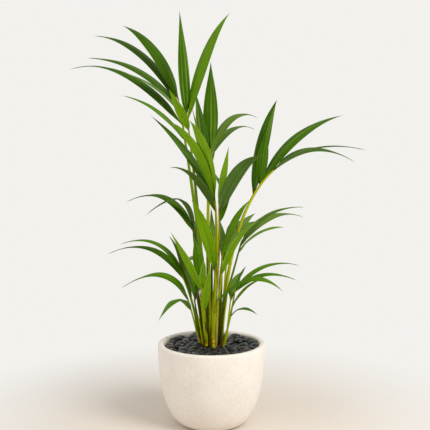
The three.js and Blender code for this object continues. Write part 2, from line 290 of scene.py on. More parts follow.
# %% [markdown]
# ### Soil and pebbles
# Potting soil is nearly black and crumbly. The pebbles are tumbled basalt: charcoal, with a
# satin skin, faint paler veils of dust and fine pits. They come in four casts, dealt out
# pebble by pebble, because no two stones of a bag match: two nearly black, a brown, and a
# rare tan one.

# %% Soil and pebbles
def potting_soil():
    """Crumbs of two browns, with a bump deep enough to shade the hollows."""
    made, tree, shader = new_finish("potting_soil", 0.95, 0.2)
    crumbs = ramp(grain(block(tree), 260, 5), 0.35, 0.7)
    dress(shader, blend(crumbs, linear((24, 18, 13)), linear((62, 46, 34))), crumbs, 0.8, 0.003)
    return made


def pebble_skin(name, dark, pale):
    """A tumbled stone: the paler its veil of dust, the duller its gloss."""
    made, tree, shader = new_finish(name, 0.4, 0.55)
    here = block(tree)
    veil = ramp(grain(here, 60, 4), 0.42, 0.75)
    dusty = wire(tree, "ShaderNodeMapRange", veil, 0.0, 1.0, 0.26, 0.46)
    tree.links.new(dusty.socket, shader.inputs["Roughness"])
    dress(shader, blend(veil, linear(dark), linear(pale)), grain(here, 900, 2), 0.12, 0.0004)
    return made


print("soil is matt, pebbles are satin")

# %% [markdown]
# ### Leaf skin
# A kentia leaflet is a stiff pleated ribbon. Its upper side is glossy, with many fine veins along
# it, and the furrows between the pleats are darkened with painted shade. Its underside is duller
# and greyer. A young leaflet is a fresh yellow green, an old one nearly bottle green. The tint is
# a plain base colour dealt out leaflet by leaflet, the veins are noise drawn out along the strip
# map, and the midrib and the foot turn to the olive and orange brown of the knuckle on the rib.

# %% Leaf skin
PLEATS = 2.0
RIB_BROWN = (96, 96, 8)
FOOT_BROWN = (150, 104, 8)


def strip_axes(tree):
    """The strip map of a leaflet or stalk, and how far along and across it a point is, 0 to 1."""
    strip = wire(tree, "ShaderNodeUVMap", uv_map="strip")
    parts = wire(tree, "ShaderNodeSeparateXYZ", strip)
    return strip, parts.out("X"), parts.out("Y")


def leaf_skin(name, colour, roughness, painted_crease_shade, specular, sheen):
    """One side of a leaflet: the fourth argument paints shade into its creases, `sheen` tints its
    gloss.
    """
    made, tree, shader = new_finish(name, roughness, specular)
    shader.inputs["Specular Tint"].default_value = linear(sheen)
    strip, along, across = strip_axes(tree)
    deep = tuple(channel * 0.55 for channel in linear(colour)[:3]) + (1,)
    sunny = linear([min(255, channel * 1.12 + add) for channel, add in zip(colour, (14, 8, 0))])
    clouds = ramp(grain(block(tree), 17, 3), 0.4, 0.75)
    body = blend(clouds * 0.6, linear(colour), sunny)
    veins = ramp(grain(strip, 1, 2, 0.5, (3, 34, 1)), 0.38, 0.66)
    body = blend(veins * 0.4, body, deep)
    from_rib = abs(across * 2.0 - 1.0)
    # Painted shade: the furrows between the pleats are darkened towards the deep colour.
    wave = reckon("COSINE", from_rib * (2 * math.pi * PLEATS))
    body = blend(ramp(wave, 0.2, -1.0) * painted_crease_shade, body, deep)
    body = blend(ramp(from_rib, 0.07, 0.02) * 0.5, body, linear(RIB_BROWN))
    body = blend(ramp(along, 0.045, 0.0) * 0.7, body, linear(FOOT_BROWN))
    dress(shader, body, veins, 0.18, 0.0004)
    return made


print("a leaflet has", int(2 * PLEATS), "pleats")

# %% [markdown]
# ### Stalks, canes and dry sheaths
# Stalks and canes are smooth and juicy, yellow green where the light reaches them, with fine
# brown scurf in streaks along them. Rings of orange brown mark where old leaves fell. The old
# sheaths at the foot have dried to brown paper.

# %% Stalk skin
STALK_SHEEN = (235, 240, 130)


def stalk_skin(name, colour, shade, scurf, amount, roughness=0.45):
    """A rod's skin with shaded flanks, and with flecks of scurf, more of them by `amount`."""
    made, tree, shader = new_finish(name, roughness, 0.3)
    shader.inputs["Specular Tint"].default_value = linear(STALK_SHEEN)
    strip, along, _ = strip_axes(tree)
    streaks = ramp(grain(strip, 1, 3, 0.55, (6, 12, 1)), 0.35, 0.7)
    flank = ramp(grain(strip, 1, 1, 0.5, (0.7, 2.4, 1)), 0.48, 0.66)
    shaded = reckon("MAXIMUM", streaks * 0.6, flank)
    body = blend(shaded, linear(colour), linear(shade))
    flecks = ramp(grain(block(tree), 300, 3, 0.6, (1, 1, 0.12)), 0.72 - 0.3 * amount, 0.8)
    worn = reckon("MAXIMUM", flecks * amount, ramp(along, 0.7, 0.95) * 0.45)
    dress(shader, blend(worn, body, linear(scurf)), streaks, 0.15, 0.0005)
    return made


print("a stalk is streaked along its length")

# %% [markdown]
# Now the finishes can be mixed. Every tint of leaflet has an upper and an under side, and the
# stalks, canes and dry sheaths have a few tones each, from sunlit to shaded.

# %% Mixing the finishes
TINTS = {
    "dark": ((42, 80, 8), (82, 112, 48)),
    "deep": ((50, 92, 2), (84, 114, 34)),
    "mid": ((76, 122, 2), (100, 136, 40)),
    # A leaf green dulled towards the room's pale colour: painted sheen, the gloss of an upturned
    # leaflet put into its base colour.
    "grey": ((88, 120, 40), (110, 138, 70)),
    "fresh": ((62, 106, 0), (84, 130, 16)),
    # A young yellow green made brighter still, partly painted light: it stands in for light
    # shining through the leaflet.
    "bright": ((118, 162, 0), (124, 168, 12)),
    "olive": ((88, 132, 0), (98, 138, 8)),
}
SKINS = {}
for tint, (upper, under) in TINTS.items():
    SKINS[tint] = (leaf_skin(f"leaf_{tint}", upper, 0.4, 0.6, 0.36, (215, 248, 105)),
                   leaf_skin(f"leaf_{tint}_under", under, 0.58, 0.35, 0.2, (220, 250, 160)))
DRY_TIP = stalk_skin("dry_tip", (186, 160, 104), (150, 118, 66), (110, 78, 40), 0.4, 0.7)
STALKS = {
    "yellow": stalk_skin("stalk_yellow", (180, 186, 4), (108, 122, 2), (150, 104, 8), 0.35),
    "green": stalk_skin("stalk_green", (172, 184, 0), (78, 102, 0), (140, 100, 8), 0.4),
    "olive": stalk_skin("stalk_olive", (112, 142, 2), (52, 84, 0), (104, 86, 10), 0.35),
    "tan": stalk_skin("stalk_tan", (162, 142, 26), (104, 92, 12), (110, 74, 16), 0.5),
    "dark": stalk_skin("stalk_dark", (74, 62, 22), (38, 38, 10), (52, 32, 14), 0.6),
}
# The cane skin comes twice: a sunlit copy, and a darker copy that is painted shade for the canes
# and shoots that stand in shade.
CANE = stalk_skin("cane", (206, 214, 0), (80, 106, 0), (104, 72, 6), 0.4)
CANE_PAINTED_SHADE = stalk_skin("cane_shaded", (88, 98, 6), (44, 54, 4), (76, 44, 10), 0.55)
SCAR = stalk_skin("leaf_scar", (220, 132, 12), (156, 86, 12), (96, 48, 16), 0.5, 0.6)
PAPER = {
    "brown": stalk_skin("dry_sheath", (100, 64, 22), (54, 34, 12), (34, 20, 8), 0.6, 0.75),
    "tan": stalk_skin("pale_sheath", (200, 160, 104), (134, 88, 46), (92, 54, 26), 0.5, 0.75),
}
print("finishes:", len(bpy.data.materials))

# %% [markdown]
# ## Turning a recipe into a mesh
# What repeats or follows a path is grown by Geometry Nodes: a recipe with named inputs for its
# sizes. `new_recipe` starts one, `grow` runs it on a seed mesh and keeps the result as a plain
# mesh, because the finished piece may carry no live modifier.

# %% Recipes
def new_recipe(name, sizes):
    """A Geometry Nodes tree with one named input for each size, and the flows of its inputs."""
    tree = bpy.data.node_groups.new(name, "GeometryNodeTree")
    face = tree.interface
    face.new_socket("Geometry", in_out="INPUT", socket_type="NodeSocketGeometry")
    for title, value in sizes.items():
        kind = "NodeSocketInt" if isinstance(value, int) else "NodeSocketFloat"
        face.new_socket(title, in_out="INPUT", socket_type=kind)
    face.new_socket("Geometry", in_out="OUTPUT", socket_type="NodeSocketGeometry")
    sockets = tree.nodes.new("NodeGroupInput").outputs
    return tree, {socket.name: Flow(socket) for socket in sockets if socket.name}


def finish_recipe(geometry, choices, weld=0.0):
    """Realizes the instances and deals the finishes: a list of (selection, material)."""
    tree = geometry.tree
    geometry = wire(tree, "GeometryNodeRealizeInstances", geometry)
    geometry = wire(tree, "GeometryNodeSetShadeSmooth", geometry)
    for selection, material in choices:
        geometry = wire(tree, "GeometryNodeSetMaterial", geometry, selection, material)
    if weld:
        geometry = wire(tree, "GeometryNodeMergeByDistance", geometry, None, weld)
    wire(tree, "NodeGroupOutput", geometry)


def grow(name, seed, tree, sizes, sharp=None):
    """Runs a recipe on a seed mesh and keeps the result as a plain object."""
    holder = in_scene(name + "_seed", seed)
    recipe = holder.modifiers.new("recipe", "NODES")
    recipe.node_group = tree
    for socket in tree.interface.items_tree:
        if socket.in_out == "INPUT" and socket.name in sizes:
            recipe[socket.identifier] = sizes[socket.name]
    ready = holder.evaluated_get(bpy.context.evaluated_depsgraph_get())
    mesh = bpy.data.meshes.new_from_object(ready)
    bpy.data.objects.remove(holder)
    mesh.name = name
    if sharp is not None:
        mesh.set_sharp_from_angle(angle=math.radians(sharp))
    print(f"{name}: {sum(len(face.vertices) - 2 for face in mesh.polygons)} triangles")
    return in_scene(name, mesh)


print("a recipe goes: seed mesh, node tree, plain mesh")

# %% [markdown]
# A seed mesh is only a handful of points, or of lines. What one leaflet, stalk or pebble differs
# in from the next is a mark on its points, which is what Blender calls a named attribute. The
# recipe reads the marks, writes more of them, and compares them where it deals out finishes.

# %% Marks
def seed_mesh(name, points, edges, marks):
    """Points that carry marks, which a recipe reads as named attributes."""
    mesh = bpy.data.meshes.new(name)
    mesh.from_pydata([tuple(point) for point in points], edges, [])
    for title, values in marks.items():
        values = np.array(list(values), float)
        if values.ndim == 2:
            layer = mesh.attributes.new(title, "FLOAT_VECTOR", "POINT")
            layer.data.foreach_set("vector", values.ravel())
        else:
            layer = mesh.attributes.new(title, "FLOAT", "POINT")
            layer.data.foreach_set("value", values)
    return mesh


def mark(tree, title, kind="FLOAT"):
    """Reads a named attribute inside a recipe."""
    return wire(tree, "GeometryNodeInputNamedAttribute", title, data_type=kind)


def store(geometry, title, value, kind="FLOAT", domain="POINT"):
    """Writes a named attribute inside a recipe."""
    return wire(geometry.tree, "GeometryNodeStoreNamedAttribute", geometry, None, title, value,
                data_type=kind, domain=domain)


def above(number, limit):
    """True where a number is greater than a limit."""
    return wire(number.tree, "FunctionNodeCompare", number, limit, operation="GREATER_THAN")


def is_near(number, value):
    """True where a number is nearest to a whole value."""
    return wire(number.tree, "FunctionNodeCompare", abs(number - value), 0.5,
                operation="LESS_THAN")


print("a mark is a number or an arrow on each point")

# %% [markdown]
# ## The pot
# A potter would describe this pot by half of its outline: a flat foot, a belly that swings out
# and up to a straight lip, a round-edged rim, and a straight neck inside. Turning that outline
# about the middle gives the pot. The outline is the source's own, with many more points, so the
# stone looks round instead of faceted.

# %% The pot's outline
POT_HEIGHT, POT_RADIUS, POT_FOOT_RADIUS = 0.235, 0.1546, 0.08
FOOT_SWELL, FOOT_RISE, BELLY = 1.6, 0.004, 0.47
POT_WALL, POT_FLOOR, RIM_ROUNDING = 0.017, 0.02, 0.006
CAVITY_FLOOR, CAVITY_HEEL, SOIL_TOP = 0.48, 0.84, 0.205
INNER_RADIUS = POT_RADIUS - POT_WALL
POLE_RADIUS = 0.0005
WALL_STEPS, HEEL_STEPS, RIM_TURN = 40, 12, 15


def bezier(controls, share):
    """A point on a Bezier curve of any order."""
    points = [Vector(control) for control in controls]
    while len(points) > 1:
        points = [a.lerp(b, share) for a, b in zip(points, points[1:])]
    return points[0]


def pot_outline():
    """Radius and height, from the middle of the foot, round the rim, to the floor inside."""
    shoulder = POT_HEIGHT - RIM_ROUNDING
    wall = [(POT_FOOT_RADIUS, 0), (POT_FOOT_RADIUS * FOOT_SWELL, FOOT_RISE),
            (POT_RADIUS, POT_HEIGHT * BELLY), (POT_RADIUS, shoulder)]
    heel = [(INNER_RADIUS, SOIL_TOP), (INNER_RADIUS, SOIL_TOP * 0.5),
            (INNER_RADIUS * CAVITY_HEEL, POT_FLOOR), (INNER_RADIUS * CAVITY_FLOOR, POT_FLOOR)]
    outline = [Vector((POLE_RADIUS, 0)), Vector((POT_FOOT_RADIUS * 0.5, 0))]
    outline += [bezier(wall, step / WALL_STEPS) for step in range(WALL_STEPS + 1)]
    for middle, start in ((POT_RADIUS - RIM_ROUNDING, 0), (INNER_RADIUS + RIM_ROUNDING, 90)):
        for step in range(1 if start == 0 else 0, 90 // RIM_TURN + 1):
            angle = math.radians(start + step * RIM_TURN)
            outline.append(Vector((middle + RIM_ROUNDING * math.cos(angle),
                                   shoulder + RIM_ROUNDING * math.sin(angle))))
    outline += [bezier(heel, step / HEEL_STEPS) for step in range(HEEL_STEPS + 1)]
    return outline + [Vector((POLE_RADIUS, POT_FLOOR))]


print("the outline has", len(pot_outline()), "points")

# %% [markdown]
# Every point of the outline makes one ring, and a row of four-sided faces joins each ring to the
# next. Blender's Screw and Spin tools do the same, but plain mesh code also gives every face its
# place on a map that unrolls the pot, and closes the foot and the floor inside with a face each.

# %% Turning the pot
POT_SIDES, POT_SHARP = 144, 50
CAP_PLACE = (0.001, 0.001)


def turned(name, outline, sides):
    """A closed shape turned about the Z axis, with a map that unrolls it."""
    points, faces, rolls = [], [], []
    lengths = np.cumsum([0] + [(b - a).length for a, b in zip(outline, outline[1:])])
    for radius, height in outline:
        for side in range(sides):
            angle = 2 * math.pi * side / sides
            points.append((radius * math.cos(angle), radius * math.sin(angle), height))
    for ring in range(len(outline) - 1):
        low, high = lengths[ring] / lengths[-1], lengths[ring + 1] / lengths[-1]
        for side in range(sides):
            after = (side + 1) % sides
            faces.append((ring * sides + side, ring * sides + after,
                          (ring + 1) * sides + after, (ring + 1) * sides + side))
            left, right = side / sides, (side + 1) / sides
            rolls += [(left, low), (right, low), (right, high), (left, high)]
    faces.append(tuple(range(sides))[::-1])
    faces.append(tuple((len(outline) - 1) * sides + side for side in range(sides)))
    rolls += [CAP_PLACE] * (2 * sides)
    mesh = bpy.data.meshes.new(name)
    mesh.from_pydata(points, [], faces)
    mesh.uv_layers.new(name="OFBake").data.foreach_set("uv", np.ravel(rolls))
    mesh.shade_smooth()
    mesh.set_sharp_from_angle(angle=math.radians(POT_SHARP))
    return in_scene(name, mesh)


stone_pot = turned("stone_pot", pot_outline(), POT_SIDES)
stone_pot.data.materials.append(cast_stone())
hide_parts("pot")
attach(stone_pot, "root")
print("pot", [round(side, 3) for side in stone_pot.dimensions], "m")

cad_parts["potting_soil"].data.materials.clear()
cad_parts["potting_soil"].data.materials.append(potting_soil())

# %% [markdown]
# ## The plant's plan
# The source's own stems, in centimetres: where each one stands, where it ends, and its radius.

# %% Stems
STEMS = {
    "stem_left": ((-3.2, 0.4), (-3.9, -0.1, 26), 0.6),
    "stem_front": ((-1.5, -2), (-1.8, -2.5, 29.5), 0.65),
    "stem_centre": ((0.6, -2.4), (0.7, -2.9, 33), 0.78),
    "stem_ringed": ((2.0, 1.1), (3.5, 1.2, 34.5), 0.68),
    "stem_right": ((3.3, -1.3), (4.2, -1.6, 26), 0.6),
    "stem_back": ((-0.7, 2.8), (-0.9, 3.2, 35), 0.72),
}
CLEAR = 0.0004
STEM_START = SOIL_TOP + CLEAR
print("stems:", len(STEMS))

# %% [markdown]
# A frond has the stem and side it leaves from, its stalk's radius, the points that its rib leans
# through and ends at, and its stalk's tint. Then come its leaflets: the place on the rib, how far
# one reaches to the right, back and up, how much it arches, its width, how far its blade is
# turned, its tint, how far the blade twists on towards its tip, and where it bends, if not at
# the usual share. The rows could be drawn by chance, but a potted plant is known by its few large
# leaves, so each one is listed, close to the source's.

# %% Fronds
FRONDS = {
    "frond_tall_left": ("stem_back", 215, 0.52, (-5.2, 4, 66), (-9.4, 7, 93), "olive", [
        (1.0, -16.8, 7, 22, 4.6, 3.9, 35, "deep", 0),
        (0.97, -26.8, 15, 21.5, 5.9, 3.4, 22, "deep", 0),
        (0.95, -25, -13, 13.6, 4.4, 3.5, 60, "dark", -35),
        (0.93, -13.5, -20.5, 10, 2, 3.0, 60, "grey", -30),
        (0.87, -32.7, 1.5, 15.9, 6.4, 3.6, 55, "deep", -60, 0.5),
        (0.79, -15.5, -22, 11.9, 2.7, 3.8, 60, "mid", -30),
    ]),
    "frond_young_upright": ("stem_front", 60, 0.52, (-3, -1, 59), (-6.9, 0, 88.5), "olive", [
        (1.0, -2.2, 6, 29.8, 0.2, 3.4, 0, "deep", 0),
        (0.98, 11.8, 3, 29.8, 5.0, 4.7, -28, "olive", 0),
        (0.93, -5, -11, 11, 0.5, 2.8, -15, "bright", 0),
    ]),
    "frond_dark_back": ("stem_back", 330, 0.54, (-1.6, 7, 57), (-0.4, 12, 78.5), "green", [
        (0.76, -3.9, 4, 27.5, 2, 4.6, 10, "dark", 0),
        (1.0, 0.1, 8.5, 26.5, 0.5, 4.6, 5, "deep", 0),
        (0.99, 14.5, 10, 10, 5.4, 3.6, -15, "grey", 0),
        (0.95, 14, 14, 8.2, 4.5, 3.1, -10, "grey", 0),
        (0.7, -4.9, 3, 25.4, 2.6, 4.0, -20, "grey", 0),
    ]),
    "frond_centre": ("stem_centre", 150, 0.58, (2.2, -3.6, 51), (0.9, -4, 66.5), "green", [
        (0.98, -12.8, -6, 21, 4.9, 3.8, -20, "bright", 0),
        (0.95, -6.8, -10, 22, 4.9, 4.8, 10, "bright", 0),
        (0.92, -18, 2, 24.4, 3.4, 3.3, 35, "dark", 0, 0.34),
        (0.84, -12, -16.5, 13.3, 4.2, 3.2, -5, "deep", 0),
    ]),
    "frond_centre_right": ("stem_centre", 78, 0.32, (2.7, -1, 47.5), (2, 0, 63.5), "tan", [
        (1.0, 3, 6, 16.3, 1, 3.3, 25, "bright", 0),
        (0.92, 12, -8, 16.5, 4.5, 4.0, 50, "dark", 0),
        (0.83, 4.5, 3, 13, 1.5, 3.2, -10, "fresh", 0),
    ]),
    "frond_tall_right": ("stem_ringed", 10, 0.5, (7.1, 3, 68.2), (22, 5, 75.7), "yellow", [
        (0.6, 7.3, 8.5, 27.8, 4.0, 3.8, -40, "dark", 0),
        (0.69, 2.2, 3, 16.5, 1.5, 3.3, -30, "deep", 0),
        (0.72, 24.8, 12, 19.4, 4.7, 3.6, -30, "deep", 0, 0.34),
        (0.84, 24.2, -14.5, 6.4, 3.8, 2.5, 10, "deep", 0),
        (0.87, 26, 17.5, 1.2, 4.9, 2.6, -30, "deep", 0),
    ]),
    "frond_left_upper": ("stem_front", 300, 0.28, (-1.6, -3.4, 45), (-5.3, -6, 57.5), "dark", [
        (0.96, -18, -6.5, 8.6, 5.8, 3.9, 68, "deep", -85, 0.34),
        (0.92, -11.7, -24, 7.7, 8, 3.2, 40, "dark", -60, 0.08),
    ]),
    "frond_centre_leaf": ("stem_centre", 222, 0.36, (1.6, -4.6, 40), (0.7, -5.6, 46), "green", [
        (0.98, -6, -7, 20, 3, 3.8, -15, "bright", 0),
        (0.9, -1, 9, 17.5, 0.5, 2.8, -12, "grey", 0),
    ]),
    "frond_left_mid": ("stem_left", 335, 0.38, (-6.4, -2, 44.5), (-13, -4, 50.5), "olive", [
        (0.52, -17, -12, 12, 6.1, 3.2, 72, "mid", -80, 0.3),
        (0.5, -22.9, 6, 7.1, 6.1, 2.0, 66, "deep", -70, 0.36),
        (0.3, -6, -8, 19.6, 3.6, 3.8, 20, "deep", 0),
    ]),
    "frond_left_low": ("stem_left", 235, 0.26, (-5.5, -3, 33), (-7.2, -5, 39), "green", [
        (0.85, -18.2, -6, 4, 5.6, 2.9, 68, "mid", -85, 0.28),
        (0.55, -8, -19, 1.5, 4.2, 3.0, 0, "mid", 0),
        (0.8, -3.2, -5, 5.5, 0.5, 1.7, 10, "mid", 0),
    ]),
    "frond_front": ("stem_front", 210, 0.42, (-2.1, -5, 35.5), (-3.2, -8, 44), "green", [
        (0.74, -8, -11.5, 18, 0.8, 3.1, 0, "bright", 0),
        (1.0, -1.5, 2, 11, 0.5, 2.8, 25, "fresh", 0),
        (0.8, 0.8, -13.5, 10, 1, 2.8, -40, "bright", 0),
        (0.3, 1.9, -19.7, 16, 1, 2.5, -20, "bright", 0),
    ]),
    "frond_right_inner": ("stem_centre", 6, 0.36, (3, -3.4, 40), (2.9, -6, 51), "green", [
        (0.92, 8, 5.5, 15.4, 2.8, 3.2, -5, "olive", 0),
        (0.95, 10.3, 20, 9.6, 1.8, 3.4, -35, "grey", 0),
        (0.65, 10, -20, 17.5, 4, 3.2, -10, "bright", 0),
    ]),
    "frond_right_mid": ("stem_ringed", 270, 0.34, (6.4, -2, 45), (8.6, -3, 54), "olive", [
        (0.86, 17.5, -7.5, 12.1, 4.3, 2.8, -55, "grey", 50, 0.32),
        (0.92, 19, 13, 6.2, 4.2, 2.8, -40, "grey", 30),
        (0.77, 11.7, -15.5, 9.2, 2.5, 3.1, -30, "bright", 0),
    ]),
    "frond_right_low": ("stem_right", 250, 0.3, (5.6, -2.4, 32), (6.9, -4, 41), "green", [
        (0.97, 2.7, -8, 7.1, 1, 2.4, -35, "mid", 0),
        (0.92, 19, 8, 5.5, 3.7, 2.1, -25, "mid", 20),
        (0.88, 17, -6.5, 4.4, 3.5, 2.6, -45, "mid", 45),
        (0.6, 7.2, -9, 9.4, 1.8, 3.0, -40, "bright", 0),
        (0.4, 7.5, -7.5, 2.4, 2.3, 1.9, -15, "mid", 0),
    ]),
    "frond_front_low": ("stem_centre", 294, 0.26, (0.9, -5.4, 35.1), (1.24, -7.9, 36.8), "green", [
        (0.99, 17.8, -10, 5, 4.9, 2.8, -35, "mid", 20, 0.56),
    ]),
    "frond_back_tall": ("stem_back", 60, 0.42, (-1.4, 8, 56.5), (-1, 15, 74), "olive", [
        (1.0, 0, 16, 24, 2, 3.4, 30, "dark", 0),
        (0.96, -4, 18.5, 12, 3.5, 3.4, 45, "dark", -20),
        (0.92, 2, 22, 8, 4.5, 3.4, -45, "deep", 20),
        (0.87, -2, 22, -2, 5, 3.2, 50, "dark", -20),
        (0.82, 4.5, 20, -4, 5, 3.2, -40, "mid", 10),
    ]),
    "frond_back_left": ("stem_back", 140, 0.34, (-2.8, 7, 42), (-5, 11, 49), "green", [
        (1.0, 2.5, 19, 8.5, 3, 3.2, 40, "fresh", 0),
        (0.94, 0.5, 21.5, 6, 4, 3.2, -45, "mid", 10),
        (0.88, 1, 15, 12, 1.5, 3.0, 30, "fresh", 0),
        (0.78, -6, 18, -7, 2.6, 3.0, 45, "mid", -20),
        (0.7, -0.5, 23.5, -4, 4.5, 3.0, -40, "deep", 20),
    ]),
    "frond_back_right": ("stem_ringed", 110, 0.34, (4.2, 6, 42), (4.6, 11, 50.5), "green", [
        (1.0, 4.7, 18.5, 5, 2, 3.3, -35, "fresh", 0),
        (0.6, -1.8, 20, 12.3, 1.5, 2.6, 25, "mid", 0),
        (0.88, 11, 14, 7.5, 2.5, 3.0, -40, "mid", 0),
        (0.8, 3, 22, 1.5, 4, 3.0, -45, "fresh", 20),
        (0.72, 1, 23.5, -4, 4.5, 3.0, 40, "deep", -20),
    ]),
    "frond_back_low": ("stem_left", 105, 0.28, (-4.3, 4, 30.5), (-5.2, 8, 35.5), "olive", [
        (1.0, -4.5, 16, 5, 3, 2.8, 40, "mid", 0),
        (0.92, -2, 17, 3, 3, 2.6, 45, "deep", -20),
        (0.82, 1, 21, 4, 3.5, 2.6, -40, "dark", 10),
    ]),
    "frond_side_low": ("stem_right", 60, 0.28, (5.1, 2, 31), (5.7, 7, 36), "green", [
        (1.0, 3.7, 15, 4.3, 1, 2.6, -35, "mid", 0),
        (0.92, 1, 15, -0.5, 1.5, 2.6, -45, "fresh", 20),
        (0.82, 3.5, 21.5, 1, 2.5, 2.6, 40, "mid", -10),
    ]),
}
print("leaflets:", sum(len(frond[-1]) for frond in FRONDS.values()))

# %% [markdown]
# A rib is a Bezier curve of three controls: its seat on the rim of its stem's top, the point it
# leans through, and its tip. One curve carries both the stalk and the feet of the leaflets, so
# the two can't drift apart.

# %% Ribs
def rib_controls(stem, seat, stalk, through, tip):
    """The three controls of a frond's rib, which leaves the rim of its stem's top."""
    _, top, radius = STEMS[stem]
    side = math.radians(seat)
    out = radius - stalk
    start = Vector((top[0] + out * math.cos(side), top[1] + out * math.sin(side), top[2])) * CM
    return [start + UP * CLEAR, Vector(through) * CM, Vector(tip) * CM]


highest = max(FRONDS, key=lambda name: FRONDS[name][4][2])
print(highest, "ends highest, at", FRONDS[highest][4][2], "cm")


# %% [markdown]
# ## Leaflets
# A leaflet starts as a flat grid, two layers thick. The recipe puts a copy of it at every
# leaflet's foot, and then moves each point of each copy to where the leaflet's rule says. The
# grid's points know their share of the way `along` the blade, their `side` from -1 to 1, and
# their layer. Columns crowd towards the midrib, whose ridge is narrow.

# %% A blank blade
BLADE = {
    "Neck": 0.2, "Shift": 0.75, "Fullness": 0.85, "Tip draw": 0.45, "Point": 0.015,
    "Columns": 19, "Rows": 41, "Keel": 13.0, "Foot fold": 48.0, "Pleat depth": 0.03,
    "Midrib": 0.0005, "Thickness": 0.0007,
}
MIDRIB_CROWDING = 1.4


def blank_blade(tree, given, layer):
    """A grid that knows, for each point, its side, its share along, and its layer."""
    sheet = wire(tree, "GeometryNodeMeshGrid", 2.0, 1.0, given["Columns"], given["Rows"])
    if layer < 0:
        sheet = wire(tree, "GeometryNodeFlipFaces", sheet)
    parts = wire(tree, "ShaderNodeSeparateXYZ", wire(tree, "GeometryNodeInputPosition"))
    x, along = parts.out("X"), parts.out("Y") + 0.5
    sheet = store(sheet, "side", reckon("SIGN", x) * abs(x) ** MIDRIB_CROWDING)
    sheet = store(sheet, "along", along)
    sheet = store(sheet, "layer", float(layer))
    map_place = wire(tree, "ShaderNodeCombineXYZ", along, x * 0.5 + 0.5)
    return store(sheet, "strip", map_place, "FLOAT2", "CORNER")


print("one blade is a grid of", BLADE["Columns"], "by", BLADE["Rows"], "points, twice")

# %% [markdown]
# A leaflet leaves the rib, rises to a knee and arches over to its tip, so its line is a Bezier
# curve of three controls: the foot, the knee and the whole reach. Its blade lies level across
# that line, is turned about it, and may twist on towards its tip.

# %% A leaflet's line
def leaflet_line(tree, along):
    """Where a point of the line is, and which ways are across the blade and up from it."""
    reach = mark(tree, "reach", "FLOAT_VECTOR")
    rest = 1.0 - along
    lift = wire(tree, "ShaderNodeCombineXYZ", 0.0, 0.0, mark(tree, "arch") * 2.0)
    to_knee = reach * mark(tree, "knee") + lift
    from_knee = reach - to_knee
    spot = to_knee * (along * rest * 2.0) + reach * (along * along)
    heading = reckon("NORMALIZE", to_knee * rest + from_knee * along)
    level = reckon("NORMALIZE", reckon("CROSS_PRODUCT", reach, (0, 0, 1)))
    angle = (mark(tree, "turn") + mark(tree, "twist") * along) * -1.0
    across = wire(tree, "ShaderNodeVectorRotate", level, (0, 0, 0), heading,
                  reckon("RADIANS", angle), rotation_type="AXIS_ANGLE")
    up = reckon("CROSS_PRODUCT", across, heading)
    return mark(tree, "foot", "FLOAT_VECTOR") + spot, across, up


print("a leaflet's line has three controls")

# %% [markdown]
# The width starts at a narrow neck, is widest before the middle and ends in a long drawn point.
# Across the blade, a fold along the rib makes a keel that closes towards the foot, pleats run
# in a wave from rib to margin, and the margin flutters a little. The skin is thickest at the
# midrib and thins out to nothing at the margin and at both ends.

# %% A leaflet's width and section
TIP_DRAW_POWER = 5.0
FOOT_SHARE = 0.16
MIDRIB_SHARE = 0.045
END_STEEPNESS = 20.0
FLUTTER_ALONG, FLUTTER_ACROSS = 11.0, 0.9


def half_width(tree, given, along):
    """Half of the blade's width at a share of the way along it."""
    bulge = reckon("SINE", along ** given["Shift"] * math.pi)
    belly = reckon("MAXIMUM", bulge, 0.0) ** given["Fullness"]
    belly = belly * (1.0 - given["Tip draw"] * along ** TIP_DRAW_POWER)
    share = reckon("MAXIMUM", belly, given["Neck"] * (1.0 - along))
    return mark(tree, "half_width") * reckon("MAXIMUM", share, given["Point"])


def blade_section(tree, given, along, side, layer):
    """How far a point lies to the side of the line, and how far above it."""
    half = half_width(tree, given, along)
    off = abs(side)
    closing = wire(tree, "ShaderNodeMapRange", along, 0.0, FOOT_SHARE, 1.0, 0.0,
                   interpolation_type="SMOOTHSTEP")
    fold = closing * given["Foot fold"] + given["Keel"] * mark(tree, "fold")
    fold = reckon("RADIANS", fold)
    sideways = side * half * reckon("COSINE", fold)
    drop = (off - 0.5) * half * reckon("SINE", fold)
    crease = reckon("COSINE", off * (2 * math.pi * PLEATS)) * half * given["Pleat depth"]
    ends = (reckon("MINIMUM", along * END_STEEPNESS, 1.0)
            * reckon("MINIMUM", (1.0 - along) * END_STEEPNESS, 1.0))
    body = given["Thickness"] * 0.5 + given["Midrib"] * ramp(off, MIDRIB_SHARE, 0.0)
    skin = (1.0 - off ** 3.0) * ends * body * layer
    flutter = along * FLUTTER_ALONG + side * FLUTTER_ACROSS + mark(tree, "phase")
    flutter = reckon("SINE", flutter) * off * half * mark(tree, "ripple")
    return sideways, crease - drop + skin + flutter


print("a blade unfolds over the first", FOOT_SHARE, "of its length")

# %% [markdown]
# The recipe joins the two layers, moves their points, deals out the finishes leaflet by leaflet,
# another one for each underside and for a tip that has dried, and welds the layers together.

# %% The leaflet recipe
WELD = 0.000004


